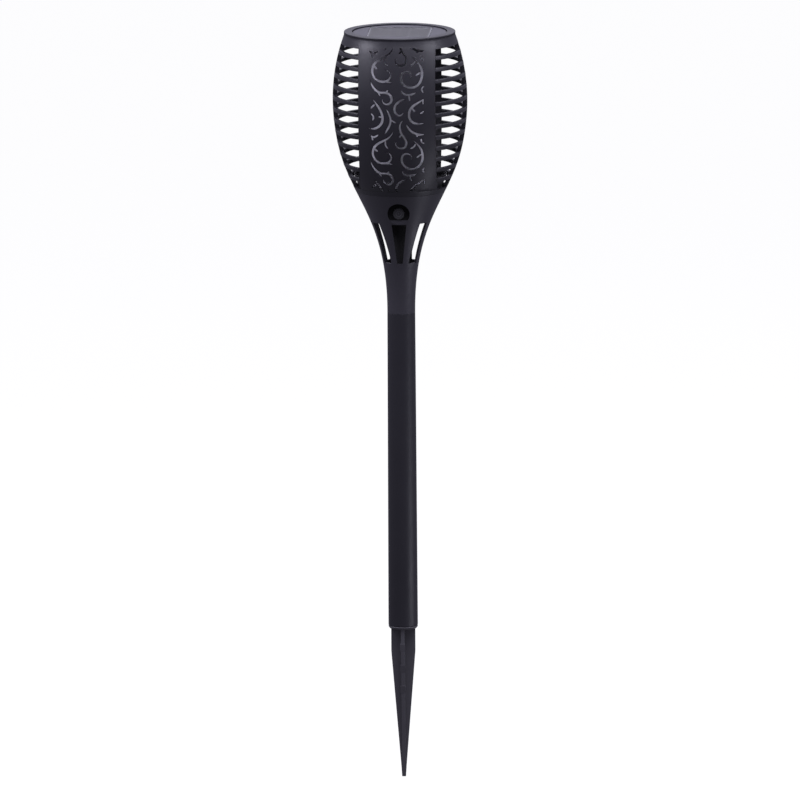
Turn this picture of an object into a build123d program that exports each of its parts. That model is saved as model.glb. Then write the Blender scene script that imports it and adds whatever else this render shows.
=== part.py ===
from build123d import *
import math
import os

# Solar flame torch: a barrel-shaped lantern head on a pole, held in the ground by a spike.
# Millimetres. +Z is up, the push button and one scroll panel face -Y.
# The origin is on the axis, at the underside of the spike's collar, where the ground is.

# ---- spike -------------------------------------------------------------------------------
SPIKE_LENGTH = 130.0
FIN_REACH = 10.35
FIN_THICKNESS = 3.0
FIN_STRAIGHT = 20.0
TIP_REACH = 1.8
TIP_HEIGHT = 10.0
TIP_END_REACH = 1.6
BARB_WIDTH = 4.2
BARB_DEPTH = 0.9
BARB_HEIGHT = 6.5
BARB_TOPS = (-12.5, -31.0, -49.5)
COLLAR_RADIUS = 12.6
COLLAR_FOOT_RADIUS = 11.3
COLLAR_EDGE = 0.5
COLLAR_HEIGHT = 2.5
PLUG_RADIUS = 10.33
PLUG_HEIGHT = 32.0
PLUG_WALL = 2.0

# ---- pole --------------------------------------------------------------------------------
POLE_TOP = 275.8
POLE_RADIUS_BOTTOM = 12.7
POLE_RADIUS_TOP = 12.0
POLE_FOOT_EDGE = 0.5
POLE_TOP_EDGE = 0.15
POLE_BORE = 10.4
POLE_BORE_TOP = 250.0
SPIGOT_RADIUS = 10.14
SPIGOT_HEIGHT = 23.6
SPIGOT_BORE = 8.4

# ---- head: outer outline, as (radius, height) from the neck to the rim ----------------------
OUTLINE = (
    (12.0, 275.8),
    (13.3, 303.8),
    (17.7, 330.0),
    (26.3, 356.2),
    (38.7, 382.4),
    (49.9, 408.6),
    (55.9, 434.8),
    (57.9, 461.0),
    (55.8, 487.2),
    (52.0, 504.7),
    (47.9, 517.5),
)
WALL = 2.3
NECK_BORE = 10.2
NECK_BORE_TOP = 299.8
NECK_STOP_BORE = 8.4
NECK_STOP_TOP = 302.0
SLOT_BOTTOM = 320.2
SLOT_TOP = 355.8
FRONT_SLOT_WIDTHS = (4.8, 12.8)
SIDE_SLOT_ANGLE = 52.0
SIDE_SLOT_BOTTOM_SPAN = (-6.4, 2.4)
SIDE_SLOT_TOP_SPAN = (-4.5, 4.8)
CAGE_SEAM = 382.0
WINDOW_BOTTOM = 386.4
WINDOW_TOP = 514.0
SIDE_WINDOW_TOP = 510.5
HEAD_TOP = 520.5

# ---- cage --------------------------------------------------------------------------------
BAR_OUTER_X = 33.0
PANEL_HALF_WIDTH = 23.6
CUT_OUT_MARGINS = (0.6, 1.0)
RIB_HALF_WIDTH = 1.6
RIB_DEPTH = 3.8
SLAT_COUNT = 12
SLAT_TOP_CENTRE = 503.0
SLAT_PITCH = 9.8
SLAT_HEIGHT = 3.5
SLAT_DEPTH = 3.6

# ---- rim and solar cap ----------------------------------------------------------------------
RIM_INNER = 40.9
RIM_ROUND = 0.5
RIM_GROOVE = (518.6, 519.5)
RIM_GROOVE_DEPTH = 0.8
LEDGE_INNER = 32.5
LEDGE_THICKNESS = 1.6
CAP_RADIUS = 40.4
CAP_TOP = 519.5
CAP_THICKNESS = 2.9
SEAL_CORD = 1.0
SEAL_RADIUS = 38.2
CAP_SCREW_CIRCLE = 34.6
PANEL_SIDE = 53.5
PANEL_GAP = 0.3
POCKET_DEPTH = 1.9
PAD_THICKNESS = 0.4
BACKING_THICKNESS = 0.7
CELL_THICKNESS = 0.15
COVER_THICKNESS = 0.5
CELL_STRIPS = 6
CELL_GAP = 0.5
CELL_MARGIN = 1.2
LEAD_RADIUS = 1.1

# ---- lamp --------------------------------------------------------------------------------
BASE_BOTTOM = 384.0
BASE_TOP = 387.0
BASE_RADIUS = 36.0
DISH_RADIUS = 40.2
DISH_TOP = 397.0
DISH_WALL = 1.2
DISH_OPEN_HALF = 26.5
BASE_POST_CIRCLE = 29.8
BASE_POST_RADIUS = 3.0
DIFFUSER_RADIUS = 25.0
DIFFUSER_WALL = 0.6
DIFFUSER_TOP = 503.0
CORE_RADIUS = 11.0
CORE_WALL = 1.5
CORE_TOP = 489.0
FLEX_THICKNESS = 0.4
LED_COLUMNS = 12
LED_ROWS = 8
LED_SIZE = (2.8, 0.8, 3.5)
LED_FIRST_ROW = 398.0
LED_ROW_PITCH = 12.0
BOARD_BOTTOM = 380.0
BOARD_THICKNESS = 1.6
BOARD_SIZE = (34.0, 24.0)
BOARD_POST_X = 13.0

# ---- button and switch ------------------------------------------------------------------------
BUTTON_HEIGHT = 365.8
RECESS_RADIUS = 9.6
RECESS_FLOOR_Y = -26.5
RECESS_WALL = 1.8
FLOOR_THICKNESS = 2.0
BUTTON_RADIUS = 4.9
BUTTON_HOLE_RADIUS = 5.0
BUTTON_PROUD = 2.0
BUTTON_FLANGE_RADIUS = 5.9
BUTTON_FLANGE_GAP = 0.05
BUTTON_TRAVEL = 1.5
SHAFT_RADIUS = 1.5
SWITCH_SIDE = 8.0
SWITCH_FRONT_Y = -20.5
SWITCH_BACK_Y = -13.5

# ---- battery -----------------------------------------------------------------------------
CELL_RADIUS = 7.1
CELL_LENGTH = 49.5
CELL_BOTTOM = 323.0
TUBE_BORE = 7.5
TUBE_RADIUS = 9.5
TUBE_BOTTOM = 318.0
TUBE_FLOOR = 2.0
TUBE_FLANGE_RADIUS = 14.5
TUBE_FLANGE_THICKNESS = 2.0
FUNNEL_FLOOR = 2.2
FLANGE_SCREW_CIRCLE = 12.0

# ---- scroll cut-outs: centre lines as (across, above datum), with the widest width ----------------
# One tile of the pattern; it repeats up the panel every SCROLL_PERIOD and the panel's edges cut it.
SCROLL_DATUM = 440.0
SCROLL_PERIOD = 71.6
SCROLLS = (
    # spiral on the left, with its stem, branch, thorn and tail
    (2.5, (-2.5, 2), (-5, -2.5), (-9.5, -6), (-17, -10.5), (-20.5, -17.5), (-18.5, -24), (-12, -27),
     (-6, -25), (-4.5, -21), (-6.5, -17.8), (-10, -17.5)),
    (1.8, (-9, -6.5), (-9, -11), (-6.5, -14)),
    (2.4, (-20, -12), (-18, -15), (-15.8, -16.5)),
    (1.8, (-11.5, -26.6), (-7, -27.2), (-3.5, -27.6)),
    # hanging curl in the middle
    (2.2, (6, 11.5), (3.3, 5), (5, -1), (8.7, -7.5), (7, -12.5), (2.5, -13), (-0.5, -10), (0.8, -7.2)),
    (1.8, (5, -1), (2.5, -3.5)),
    # spiral on the right, one tile up, with two thorns
    (2.6, (13.5, 66), (18.5, 61), (21.6, 55), (22, 48.5), (18.5, 41.5), (12.5, 39.5), (6.5, 42.5),
     (4.4, 48), (6.5, 52.8), (10.3, 53.2), (13, 50.5), (12.3, 47.8)),
    (1.9, (16.5, 62.5), (14.8, 59.5), (11.5, 58)),
    (2.0, (21.3, 52.5), (19, 51), (16.8, 49.6)),
    # S-shaped scroll on the left, with two thorns
    (2.6, (-22.5, 47), (-19, 38.8), (-14, 35.4), (-8.5, 35.2), (-4, 32), (-4.2, 27.5), (-8, 25.3),
     (-11.2, 27), (-11.4, 29.8)),
    (1.9, (-16, 36.5), (-13.4, 32.2)),
    (1.7, (-9, 35), (-6.6, 37.6)),
    # three-pointed leaf on the right
    (2.2, (4.5, 37.8), (7.2, 34.3), (11.5, 33.4), (17, 35.4)),
    (1.8, (11, 34), (12, 28)),
    (1.6, (23.8, 40.5), (22, 37.5), (23.8, 34.5)),
    # large arc that closes on the left edge, with two thorns and a small comma inside
    (2.6, (-20, 29.5), (-15.6, 23.5), (-12, 16.5), (-12, 10), (-16, 5), (-20.5, 3.6), (-24.5, 4.4)),
    (1.9, (-18.4, 25), (-22, 21)),
    (1.8, (-11.9, 14), (-15, 14.4)),
    (1.8, (-22.2, 17), (-19.6, 14), (-20.6, 10.6)),
    # leaning stem left of the middle, with a thorn
    (2.1, (-9, 21.8), (-5.5, 15.8), (-4.6, 10.5), (-6.5, 5), (-10, -1)),
    (1.9, (-5, 12), (0.3, 9)),
    # open hook in the middle
    (2.3, (8.5, 29.8), (3, 28), (-0.8, 23.5), (-0.6, 18.5), (3, 15.8), (6.3, 18.4)),
    # large arc that closes on the right edge, with three thorns
    (2.6, (24.5, 30), (18.2, 26), (12.8, 21.5), (11.2, 15.5), (13.2, 10.6), (18, 8.2), (24.5, 8.6)),
    (1.9, (13.8, 22), (16.4, 18.4)),
    (1.5, (20.6, 16.6), (24, 19)),
    (1.8, (23.4, 29), (23, 24.6)),
    # stroke under it that runs off the right edge, with a thorn
    (2.4, (9, 8.2), (11.5, 3.3), (15.8, 0), (24.5, -1.4)),
    (1.6, (16.6, -0.4), (18.4, -3.4)),
    (1.7, (21.6, -5), (21.9, -8.6), (24.5, -9.4)),
    # three-pointed leaf on the left edge
    (1.9, (-23, -1.4), (-20.4, -3.6), (-15.4, -1.2)),
    (1.9, (-21, -3), (-20.3, -7)),
)
STROKE_STEPS = 3
STROKE_TRIM = 0.8
TIP_SHARE = 0.28


def outline_curve(inset=0.0):
    """The head's outline, moved towards the axis by inset, in the XZ plane."""
    return Spline(*[(radius - inset, 0, height) for radius, height in OUTLINE])


def outline_radius(height):
    """The head's outer radius at a height, found by halving along the outline."""
    curve = outline_curve()
    low, high = 0.0, 1.0
    for _ in range(30):
        middle = (low + high) / 2
        if curve.position_at(middle).Z < height:
            low = middle
        else:
            high = middle
    return curve.position_at((low + high) / 2).X


def slab(bottom, top, radius=80.0):
    """A cylinder that keeps what lies between two heights."""
    return Pos(0, 0, (bottom + top) / 2) * Cylinder(radius, top - bottom)


def tube(outer, inner, bottom, top):
    """A plain tube on the axis."""
    return slab(bottom, top, outer) - slab(bottom - 1, top + 1, inner)


def block(low, high):
    """A box from its lowest to its highest corner."""
    size = [b - a for a, b in zip(low, high)]
    centre = [(a + b) / 2 for a, b in zip(low, high)]
    return Pos(*centre) * Box(*size)


def turned(points):
    """A solid turned about the axis from a closed outline of (radius, height) points."""
    outline = Polyline(*[(radius, 0, height) for radius, height in points], close=True)
    return revolve(make_face(outline), Axis.Z)


def bar_along_y(radius, front, back, x=0.0, z=BUTTON_HEIGHT):
    """A round bar along Y, from its front end to its back end."""
    return Pos(x, (front + back) / 2, z) * Rot(90, 0, 0) * Cylinder(radius, back - front)


def on_circle(radius, angle):
    """The (x, y) of a point on a circle about the axis, with the angle counted from +X."""
    return radius * math.cos(math.radians(angle)), radius * math.sin(math.radians(angle))


def barrel(inset=0.0):
    """The full solid inside the head's outline, moved in by inset."""
    curve = outline_curve(inset)
    bottom, top = curve.position_at(0), curve.position_at(1)
    edges = [
        curve,
        Line(top, (0, 0, top.Z)),
        Line((0, 0, top.Z), (0, 0, bottom.Z)),
        Line((0, 0, bottom.Z), bottom),
    ]
    return revolve(make_face(edges), Axis.Z)


def screw(head_radius, head_height, shank_radius, shank_length, direction=1):
    """A pan-head screw with its head's underside at the origin; direction 1 points its shank up."""
    head = Pos(0, 0, -direction * head_height / 2) * Cylinder(head_radius, head_height)
    shank = Pos(0, 0, direction * shank_length / 2) * Cylinder(shank_radius, shank_length)
    slot_depth = head_height * 0.45
    slot_z = -direction * (head_height - slot_depth / 2)
    slots = [Pos(0, 0, slot_z) * Rot(0, 0, turn) * Box(head_radius * 1.3, 0.5, slot_depth) for turn in (0, 90)]
    return head + shank - slots


# ---- spike -------------------------------------------------------------------------------


def fin_reach(height):
    """How far a fin reaches from the axis at a height below the collar."""
    taper_bottom = TIP_HEIGHT - SPIKE_LENGTH
    if height > -FIN_STRAIGHT:
        return FIN_REACH
    share = (height + FIN_STRAIGHT) / (taper_bottom + FIN_STRAIGHT)
    return FIN_REACH + (TIP_REACH * 1.25 - FIN_REACH) * share


def fin_pair():
    """Two opposite fins, in the XZ plane, from the collar down to the tip."""
    heights = (0.0, -FIN_STRAIGHT, TIP_HEIGHT - SPIKE_LENGTH)
    right = [(fin_reach(height), height) for height in heights] + [(TIP_END_REACH, -SPIKE_LENGTH)]
    left = [(-reach, height) for reach, height in reversed(right)]
    outline = Polyline(*[(x, 0, z) for x, z in right + left], close=True)
    return extrude(make_face(outline), FIN_THICKNESS / 2, dir=(0, 1, 0), both=True)


def barbs():
    """Teeth on the front and rear fins that hold the spike in the soil."""
    teeth = []
    for top in BARB_TOPS:
        bottom = top - BARB_HEIGHT
        side = Polyline(
            (0, fin_reach(top) - 1, top),
            (0, fin_reach(top) + BARB_DEPTH, top),
            (0, fin_reach(bottom) + 0.1, bottom),
            (0, fin_reach(bottom) - 1, bottom),
            close=True,
        )
        tooth = extrude(make_face(side), BARB_WIDTH / 2, dir=(1, 0, 0), both=True)
        teeth += [tooth, Rot(0, 0, 180) * tooth]
    return teeth


def ground_spike():
    """Plus-section stake, collar and the hollow plug that goes up into the pole."""
    fins = fin_pair() + Rot(0, 0, 90) * fin_pair()
    collar = turned([(0, 0), (COLLAR_FOOT_RADIUS, 0), (COLLAR_RADIUS, COLLAR_HEIGHT - 2 * COLLAR_EDGE),
                     (COLLAR_RADIUS, COLLAR_HEIGHT - COLLAR_EDGE), (COLLAR_RADIUS - COLLAR_EDGE, COLLAR_HEIGHT),
                     (0, COLLAR_HEIGHT)])
    plug_top = COLLAR_HEIGHT + PLUG_HEIGHT
    plug = turned([(0, COLLAR_HEIGHT), (PLUG_RADIUS, COLLAR_HEIGHT), (PLUG_RADIUS, plug_top - 1.2),
                   (PLUG_RADIUS - 1.2, plug_top), (PLUG_RADIUS - PLUG_WALL, plug_top),
                   (PLUG_RADIUS - PLUG_WALL, COLLAR_HEIGHT + 2), (0, COLLAR_HEIGHT + 2)])
    return fins + barbs() + collar + plug


# ---- pole --------------------------------------------------------------------------------


def pole_tube():
    """Tapered tube with a plain socket for the spike below and a spigot for the head on top."""
    spigot_top = POLE_TOP + SPIGOT_HEIGHT
    return turned([
        (POLE_BORE, COLLAR_HEIGHT),
        (POLE_RADIUS_BOTTOM - POLE_FOOT_EDGE, COLLAR_HEIGHT),
        (POLE_RADIUS_BOTTOM, COLLAR_HEIGHT + POLE_FOOT_EDGE),
        (POLE_RADIUS_TOP, POLE_TOP - POLE_TOP_EDGE),
        (POLE_RADIUS_TOP - POLE_TOP_EDGE, POLE_TOP),
        (SPIGOT_RADIUS, POLE_TOP),
        (SPIGOT_RADIUS, spigot_top - 1),
        (SPIGOT_RADIUS - 1, spigot_top),
        (SPIGOT_BORE, spigot_top),
        (SPIGOT_BORE, POLE_BORE_TOP + 2),
        (POLE_BORE, POLE_BORE_TOP),
    ])


# ---- head, lower moulding ----------------------------------------------------------------------


def neck_socket(full):
    """The neck, whose bore takes the pole's spigot up to an inner stop."""
    top_bore = outline_radius(SLOT_BOTTOM) - WALL
    hollow = turned([
        (0, POLE_TOP - 1),
        (NECK_BORE, POLE_TOP - 1),
        (NECK_BORE, NECK_BORE_TOP),
        (NECK_STOP_BORE, NECK_BORE_TOP),
        (NECK_STOP_BORE, NECK_STOP_TOP),
        (NECK_BORE, NECK_STOP_TOP),
        (top_bore, SLOT_BOTTOM),
        (top_bore, SLOT_BOTTOM + 1),
        (0, SLOT_BOTTOM + 1),
    ])
    return (full & slab(POLE_TOP, SLOT_BOTTOM)) - hollow


def slot_cutter(bottom, top, angle):
    """A wedge that opens one slot between two legs, towards an angle counted from -Y.

    bottom and top are the slot's near and far side at its two ends.
    """
    outline = Polyline(
        (bottom[0], 0, SLOT_BOTTOM),
        (bottom[1], 0, SLOT_BOTTOM),
        (top[1], 0, SLOT_TOP),
        (top[0], 0, SLOT_TOP),
        close=True,
    )
    return Rot(0, 0, angle) * extrude(make_face(outline), 60, dir=(0, -1, 0))


def funnel_legs(full, inner):
    """Six legs that carry the funnel above the neck."""
    ring = (full - inner) & slab(SLOT_BOTTOM, SLOT_TOP)
    front_bottom, front_top = [(-width / 2, width / 2) for width in FRONT_SLOT_WIDTHS]
    front = slot_cutter(front_bottom, front_top, 0)
    right = slot_cutter(SIDE_SLOT_BOTTOM_SPAN, SIDE_SLOT_TOP_SPAN, SIDE_SLOT_ANGLE)
    half = [front, right, mirror(right, Plane.YZ)]
    return ring - half - [Rot(0, 0, 180) * slot for slot in half]


def base_post_places():
    """The four screw posts that carry the lamp base."""
    return [on_circle(BASE_POST_CIRCLE, angle) for angle in (45, 135, 225, 315)]


def funnel_shell(full, inner):
    """The funnel with its floor, the button's recess and the screw posts inside."""
    floor_top = SLOT_TOP + FUNNEL_FLOOR
    shell = (full - (inner & slab(floor_top, CAGE_SEAM + 5))) & slab(SLOT_TOP, CAGE_SEAM)
    back = RECESS_FLOOR_Y + FLOOR_THICKNESS
    cup = bar_along_y(RECESS_RADIUS + RECESS_WALL, -45, back) & full & slab(SLOT_TOP, CAGE_SEAM)
    posts = [
        slab(SLOT_TOP + 1, CAGE_SEAM, BASE_POST_RADIUS).moved(Location((x, y, 0))) & full
        for x, y in base_post_places()
    ]
    shell = shell + cup + posts
    recess = bar_along_y(RECESS_RADIUS, -50, RECESS_FLOOR_Y)
    hole = bar_along_y(BUTTON_HOLE_RADIUS, -50, back + 1)
    battery_hole = slab(SLOT_TOP - 1, floor_top + 1, TUBE_RADIUS + 0.3)
    pilots = [slab(CAGE_SEAM - 9, CAGE_SEAM + 1, 1.25).moved(Location((x, y, 0))) for x, y in base_post_places()]
    screws = [
        slab(SLOT_TOP + 0.6, floor_top + 1, 0.95).moved(Location((x, y, 0)))
        for x, y in flange_screw_places()
    ]
    return shell - recess - hole - battery_hole - pilots - screws


# ---- head, cage ------------------------------------------------------------------------------


def stroke_width(share, widest):
    """Width of a cut-out along its length: pointed ends and a full middle."""
    full = widest * STROKE_TRIM
    near_end = min(share, 1 - share) / TIP_SHARE
    return full if near_end >= 1 else full * (1 - (1 - near_end) ** 2)


def stroke_face(widest, points):
    """The flat face of one cut-out, with its two edges drawn as curves beside the centre line."""
    centre = Spline(*points) if len(points) > 2 else Line(*points)
    steps = STROKE_STEPS * len(points)
    left, right = [], []
    for step in range(1, steps):
        share = step / steps
        place, along = centre.position_at(share), centre.tangent_at(share)
        side = Vector(-along.Y, along.X) * (stroke_width(share, widest) / 2)
        left.append(place + side)
        right.append(place - side)
    start, end = centre.position_at(0), centre.position_at(1)
    return make_face([Spline(start, *left, end), Spline(start, *right, end)])


def scroll_cutter():
    """All the cut-outs of one panel as solids along -Y."""
    low, high = WINDOW_BOTTOM + CUT_OUT_MARGINS[0], WINDOW_TOP - CUT_OUT_MARGINS[1]
    window = Pos(0, (low + high) / 2) * Rectangle(2 * PANEL_HALF_WIDTH, high - low)
    pattern = Sketch()
    for tile in (-1, 0, 1):
        height = SCROLL_DATUM + tile * SCROLL_PERIOD
        for widest, *points in SCROLLS:
            low = min(point[1] for point in points) + height
            high = max(point[1] for point in points) + height
            if high > WINDOW_BOTTOM + 2 and low < WINDOW_TOP - 2:
                pattern += Pos(0, height) * stroke_face(widest, points)
    pattern = pattern & window
    return [extrude(Plane.XZ * face, 70) for face in pattern.faces()]


def cage_front(shell, cutters):
    """One scroll panel with the plain bar on each side of it."""
    panel = shell & block((-BAR_OUTER_X, -70, WINDOW_BOTTOM), (BAR_OUTER_X, 0, WINDOW_TOP))
    return panel - cutters


def side_rib(rib_shell, side):
    """The narrow upright at the left (-1) or right (1) that joins the slats' outer ends."""
    low = (20 if side > 0 else -70, -RIB_HALF_WIDTH, WINDOW_BOTTOM)
    high = (70 if side > 0 else -20, RIB_HALF_WIDTH, SIDE_WINDOW_TOP)
    return rib_shell & block(low, high)


def slat_heights():
    """Middle height of each slat, from the top one down."""
    return [SLAT_TOP_CENTRE - index * SLAT_PITCH for index in range(SLAT_COUNT)]


def slats(side_x, side_y):
    """One quarter's slats, from a bar to a rib; each is a separate solid."""
    inner_x, outer_x = BAR_OUTER_X, 70.0
    inner_y, outer_y = RIB_HALF_WIDTH, 60.0
    solids = []
    for height in slat_heights():
        low, high = height - SLAT_HEIGHT / 2, height + SLAT_HEIGHT / 2
        low_radius, high_radius = outline_radius(low), outline_radius(high)
        ring = turned([(low_radius - SLAT_DEPTH, low), (low_radius, low), (high_radius, high),
                       (high_radius - SLAT_DEPTH, high)])
        quarter = block((inner_x, inner_y, low - 1), (outer_x, outer_y, high + 1))
        piece = ring & quarter
        if side_x < 0:
            piece = mirror(piece, Plane.YZ)
        if side_y < 0:
            piece = mirror(piece, Plane.XZ)
        solids += piece.solids()
    return Compound(children=solids)


def cage_foot_ring(full, inner):
    """The band under the windows, above the seam with the funnel."""
    return (full - inner) & slab(CAGE_SEAM, WINDOW_BOTTOM)


def rim_ring(full, inner):
    """The rounded top band, a channel underneath, with the ledge that carries the solar cap."""
    top_radius = OUTLINE[-1][0]
    top_edge = OUTLINE[-1][1]
    band = full & slab(WINDOW_TOP, top_edge)
    crown = turned([(0, top_edge), (top_radius, top_edge), (top_radius, HEAD_TOP), (0, HEAD_TOP)])
    crown = fillet(crown.edges().group_by(Axis.Z)[-1], RIM_ROUND)
    ledge_top = WINDOW_TOP + LEDGE_THICKNESS
    seat = slab(ledge_top, HEAD_TOP + 1, RIM_INNER)
    through = slab(WINDOW_TOP - 1, HEAD_TOP + 1, LEDGE_INNER)
    channel = tube(top_radius - 2.4, RIM_INNER + 2.0, WINDOW_TOP - 1, HEAD_TOP - 3.4)
    groove = tube(top_radius + 1, top_radius - RIM_GROOVE_DEPTH, *RIM_GROOVE)
    holes = [
        slab(WINDOW_TOP - 1, ledge_top + 1, 1.2).moved(Location((x, y, 0))) for x, y in cap_screw_places()
    ]
    panels = block((-BAR_OUTER_X, -70, SIDE_WINDOW_TOP), (BAR_OUTER_X, 70, WINDOW_TOP))
    skirts = (full - inner) & slab(SIDE_WINDOW_TOP, WINDOW_TOP)
    return (band + crown - seat - through - channel - groove - holes) + (skirts - panels)


# ---- solar cap -----------------------------------------------------------------------------


def cap_screw_places():
    """The four screws that hold the solar cap from below."""
    return [on_circle(CAP_SCREW_CIRCLE, angle) for angle in (0, 90, 180, 270)]


def square_sheet(side, bottom, top):
    """A flat square sheet on the axis."""
    return block((-side / 2, -side / 2, bottom), (side / 2, side / 2, top))


def solar_cap():
    """The round cap inside the rim, with a square pocket for the panel and four screw bosses."""
    bottom = CAP_TOP - CAP_THICKNESS
    disc = slab(bottom, CAP_TOP, CAP_RADIUS)
    disc = chamfer(disc.edges().group_by(Axis.Z)[-1], 0.35)
    ledge_top = WINDOW_TOP + LEDGE_THICKNESS
    bosses = [slab(ledge_top, bottom + 0.5, 2.2).moved(Location((x, y, 0))) for x, y in cap_screw_places()]
    pocket = square_sheet(PANEL_SIDE + 2 * PANEL_GAP, CAP_TOP - POCKET_DEPTH, CAP_TOP + 1)
    lead_hole = slab(bottom - 1, CAP_TOP + 1, LEAD_RADIUS + 0.4)
    pilots = [slab(ledge_top - 1, CAP_TOP - 0.8, 0.95).moved(Location((x, y, 0))) for x, y in cap_screw_places()]
    return disc + bosses - pocket - lead_hole - pilots


def cap_seal():
    """Rubber ring between the cap and its ledge."""
    height = WINDOW_TOP + LEDGE_THICKNESS + SEAL_CORD / 2
    return Pos(0, 0, height) * Torus(SEAL_RADIUS, SEAL_CORD / 2)


def cap_screws():
    """Four screws up through the ledge into the cap."""
    one = screw(1.9, 1.3, 0.9, CAP_TOP - 1.2 - WINDOW_TOP)
    return Compound(children=[s for x, y in cap_screw_places() for s in (Pos(x, y, WINDOW_TOP) * one).solids()])


def panel_layers():
    """Heights where the pad, the backing board, the cells, the cover and the panel's top begin."""
    pad = CAP_TOP - POCKET_DEPTH
    backing = pad + PAD_THICKNESS
    cells = backing + BACKING_THICKNESS
    cover = cells + CELL_THICKNESS
    return pad, backing, cells, cover, cover + COVER_THICKNESS


def solar_cells():
    """Strips of silicon side by side on the backing board."""
    _, _, bottom, top, _ = panel_layers()
    width = PANEL_SIDE - 2 * CELL_MARGIN
    strip = (width - (CELL_STRIPS - 1) * CELL_GAP) / CELL_STRIPS
    solids = []
    for index in range(CELL_STRIPS):
        left = -width / 2 + index * (strip + CELL_GAP)
        solids.append(block((left, -width / 2, bottom), (left + strip, width / 2, top)))
    return Compound(children=[s for piece in solids for s in piece.solids()])


def panel_parts():
    """The solar panel's own layers, from the pad up."""
    pad, backing, cells, cover, top = panel_layers()
    hole = slab(pad - 1, backing + 0.001, LEAD_RADIUS + 0.4)
    return {
        "panel_foam_pad": square_sheet(PANEL_SIDE - 6, pad, backing) - hole,
        "panel_backing_board": square_sheet(PANEL_SIDE, backing, cells),
        "solar_cells": solar_cells(),
        "panel_clear_cover": square_sheet(PANEL_SIDE, cover, top),
        "panel_lead": slab(CORE_TOP - 12, backing, LEAD_RADIUS),
    }


# ---- lamp --------------------------------------------------------------------------------


def lamp_base():
    """Plate that closes the funnel and locates the diffuser and the LED core, with a cheek behind each side."""
    plate = slab(BASE_BOTTOM, BASE_TOP, BASE_RADIUS)
    inner = DIFFUSER_RADIUS - DIFFUSER_WALL - 0.1
    diffuser_ring = tube(inner, inner - 1.4, BASE_TOP - 0.5, BASE_TOP + 4)
    core_inner = CORE_RADIUS - CORE_WALL - 0.1
    core_ring = tube(core_inner, core_inner - 1.4, BASE_TOP - 0.5, BASE_TOP + 4)
    board_posts = [
        slab(BOARD_BOTTOM + BOARD_THICKNESS, BASE_BOTTOM + 0.5, 2.2).moved(Location((x, 0, 0)))
        for x in (-BOARD_POST_X, BOARD_POST_X)
    ]
    dish = turned([
        (BASE_RADIUS - DISH_WALL, BASE_TOP - 0.5),
        (BASE_RADIUS, BASE_TOP - 0.5),
        (DISH_RADIUS, DISH_TOP),
        (DISH_RADIUS - DISH_WALL, DISH_TOP),
    ])
    cheeks = dish - block((-DISH_OPEN_HALF, -60, BASE_TOP - 1), (DISH_OPEN_HALF, 60, DISH_TOP + 1))
    spacers = [
        slab(CAGE_SEAM, BASE_BOTTOM + 0.5, BASE_POST_RADIUS).moved(Location((x, y, 0)))
        for x, y in base_post_places()
    ]
    wire_hole = slab(BASE_BOTTOM - 1, BASE_TOP + 1, 4.0)
    screw_holes = [
        slab(CAGE_SEAM - 1, BASE_TOP + 1, 1.6).moved(Location((x, y, 0))) for x, y in base_post_places()
    ]
    board_holes = [
        slab(BOARD_BOTTOM, BASE_BOTTOM + 1, 0.85).moved(Location((x, 0, 0)))
        for x in (-BOARD_POST_X, BOARD_POST_X)
    ]
    body = plate + cheeks + diffuser_ring + core_ring + board_posts + spacers
    return body - wire_hole - screw_holes - board_holes


def base_screws():
    """Four screws down through the lamp base into the funnel's posts."""
    one = screw(2.7, 1.8, 1.2, 12.0, direction=-1)
    return Compound(children=[s for x, y in base_post_places() for s in (Pos(x, y, BASE_TOP) * one).solids()])


def led_chips():
    """Rows of small LEDs round the flexible board."""
    width, depth, height = LED_SIZE
    face = CORE_RADIUS + FLEX_THICKNESS
    solids = []
    for column in range(LED_COLUMNS):
        turn = 360 / LED_COLUMNS * (column + 0.5)
        for row in range(LED_ROWS):
            middle = LED_FIRST_ROW + row * LED_ROW_PITCH
            chip = Pos(face + depth / 2, 0, middle) * Box(depth, width, height)
            solids += (Rot(0, 0, turn) * chip).solids()
    return Compound(children=solids)


def control_board():
    """Small circuit board under the lamp base."""
    half_x, half_y = BOARD_SIZE[0] / 2, BOARD_SIZE[1] / 2
    top = BOARD_BOTTOM + BOARD_THICKNESS
    board = block((-half_x, -half_y, BOARD_BOTTOM), (half_x, half_y, top))
    board = chamfer(board.edges().filter_by(Axis.Z), 3)
    holes = [
        slab(BOARD_BOTTOM - 1, top + 1, 1.1).moved(Location((x, 0, 0))) for x in (-BOARD_POST_X, BOARD_POST_X)
    ]
    return board - holes


def board_screws():
    """Two screws up through the control board into the lamp base."""
    one = screw(1.9, 1.2, 0.8, BASE_BOTTOM - BOARD_BOTTOM - 0.5)
    places = (-BOARD_POST_X, BOARD_POST_X)
    return Compound(children=[s for x in places for s in (Pos(x, 0, BOARD_BOTTOM) * one).solids()])


def control_parts():
    """Chip, coil, capacitor and connector on top of the control board."""
    top = BOARD_BOTTOM + BOARD_THICKNESS
    chip = block((-3, 2, top), (3, 6, top + 1.5))
    connector = block((-4, -10.5, top), (4, -6.5, top + 2.1))
    coil = Pos(-7.5, -5, top + 1) * Cylinder(2.8, 2)
    capacitor = Pos(7.5, -5, top + 1.05) * Cylinder(2.2, 2.1)
    return Compound(children=[s for part in (chip, connector, coil, capacitor) for s in part.solids()])


# ---- battery -----------------------------------------------------------------------------


def flange_screw_places():
    """The three screws of the battery tube's flange, clear of the switch at the front."""
    return [on_circle(FLANGE_SCREW_CIRCLE, angle) for angle in (30, 150, 90)]


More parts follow.
